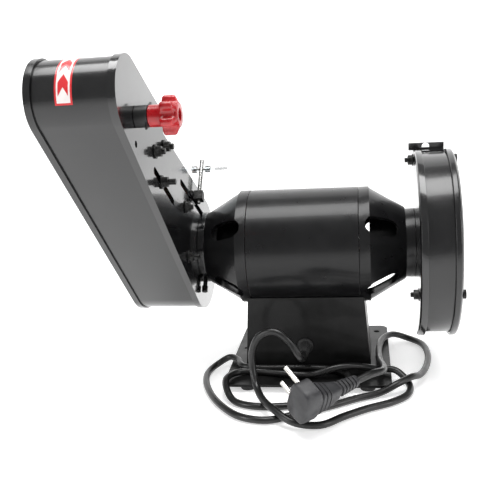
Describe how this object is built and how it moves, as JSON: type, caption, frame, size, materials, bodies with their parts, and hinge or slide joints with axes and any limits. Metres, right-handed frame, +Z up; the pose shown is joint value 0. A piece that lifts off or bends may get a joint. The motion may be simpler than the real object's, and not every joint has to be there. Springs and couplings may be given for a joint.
{
  "type": "bench grinder",
  "caption": "Bench grinder with a guarded grinding wheel on one end of a motor and a tilting belt-sander arm on the other, on a pedestal with a mains lead.",
  "frame": {"origin": "on the bench surface, below the centre of the machine's bounding box (the lead and plug left out)", "axes": "+X along the motor axis from the grinding wheel to the belt arm, +Y to the machine's rear where the lead leaves, +Z up"},
  "size_m": [0.3224, 0.3349, 0.3112],
  "materials": {
    "black_paint": "semi-gloss",
    "rubber": "satin",
    "grey_moulding": "satin",
    "black_plastic": "satin",
    "red_plastic": "glossy",
    "steel": "plain",
    "black_steel": "blackened",
    "bright_pin": "polished",
    "aluminium": "machined",
    "abrasive": "coated abrasive cloth",
    "stone": "bonded abrasive",
    "copper": "enamelled wire",
    "clear": "clear polycarbonate",
    "lamination": "laminated steel"
  },
  "bodies": {
    "base": {"base_plate": "black_paint", "foot_rear_left": "rubber", "foot_rear_right": "rubber", "foot_front_left": "rubber", "foot_front_right": "rubber", "pedestal_shell": "black_paint", "switch_bezel": "black_plastic", "cord_gland": "rubber", "run_capacitor": "aluminium", "motor_shell": "black_paint", "end_bell_belt_side": "black_paint", "end_bell_wheel_side": "black_paint", "stator_core": "lamination", "stator_winding": "copper", "ball_bearing_belt_side": "steel", "ball_bearing_wheel_side": "steel", "guard_back_plate": "black_paint", "guard_drum": "black_paint", "guard_cover": "black_paint", "guard_screw_1": "black_steel", "guard_screw_2": "black_steel", "spark_guard_bracket": "black_paint", "tool_rest_bolt": "steel", "mains_cord": "rubber", "plug_body": "grey_moulding", "plug_pin_1": "bright_pin", "plug_pin_2": "bright_pin"},
    "rotor": {"motor_shaft": "steel", "rotor_core": "lamination", "grinding_wheel": "stone", "wheel_flange_inner": "steel", "wheel_flange_outer": "steel", "wheel_nut": "steel", "drive_wheel": "aluminium", "drive_wheel_nut": "steel"},
    "arm": {"arm_plate": "black_paint", "arm_clamp_ring": "black_paint", "arm_lock_screw": "black_steel", "belt_housing_band": "black_paint", "belt_cover": "black_paint", "cover_screw": "black_plastic", "platen": "steel", "platen_bolt_upper": "black_steel", "platen_bolt_lower": "black_steel", "carriage_bolt": "black_steel", "stop_bolt": "black_steel", "housing_bolt": "black_steel", "abrasive_belt": "abrasive", "belt_rest_bolt": "steel", "shield_eye_bolt": "black_steel", "shield_rod": "steel"},
    "tension_carriage": {"idler_axle": "steel", "tension_boss": "black_plastic"},
    "idler": {"idler_wheel": "aluminium"},
    "knob": {"tracking_knob": "red_plastic"},
    "shield": {"eye_shield": "clear"},
    "belt_rest": {"belt_rest": "black_steel"},
    "tool_rest": {"tool_rest": "black_steel"},
    "rocker": {"switch_rocker": "red_plastic"}
  },
  "joints": [
    {"name": "rotor_spin", "type": "hinge", "parent": "base", "child": "rotor", "pos_m": [-0.01375, -0.0594, 0.122], "axis": [1, 0, 0], "continuous": true},
    {"name": "arm_tilt", "type": "hinge", "parent": "base", "child": "arm", "pos_m": [-0.01375, -0.0594, 0.122], "axis": [1, 0, 0], "range_deg": [-35, 50]},
    {"name": "tension_slide", "type": "slide", "parent": "arm", "child": "tension_carriage", "axis": [0, 0.7771, 0.6293], "range_m": [-0.006, 0]},
    {"name": "idler_spin", "type": "hinge", "parent": "tension_carriage", "child": "idler", "pos_m": [0.12025, 0.12715, 0.26663], "axis": [1, 0, 0], "continuous": true},
    {"name": "tracking_knob_turn", "type": "hinge", "parent": "tension_carriage", "child": "knob", "pos_m": [0.06625, 0.12715, 0.26663], "axis": [1, 0, 0], "range_deg": [-180, 180]},
    {"name": "eye_shield_tilt", "type": "hinge", "parent": "arm", "child": "shield", "pos_m": [0.08325, -0.04957, 0.20202], "axis": [1, 0, 0], "range_deg": [-28, 25]},
    {"name": "belt_rest_slide", "type": "slide", "parent": "arm", "child": "belt_rest", "axis": [0, -1, 0], "range_m": [0, 0.006]},
    {"name": "tool_rest_slide", "type": "slide", "parent": "base", "child": "tool_rest", "axis": [0, -1, 0], "range_m": [0, 0.005]},
    {"name": "switch_rock", "type": "hinge", "parent": "base", "child": "rocker", "pos_m": [-0.01375, -0.0937, 0.045], "axis": [1, 0, 0], "range_deg": [-8, 8]}
  ],
  "couplings": [
    {"joint": "idler_spin", "follows": "rotor_spin", "ratio": 2.5385}
  ]
}
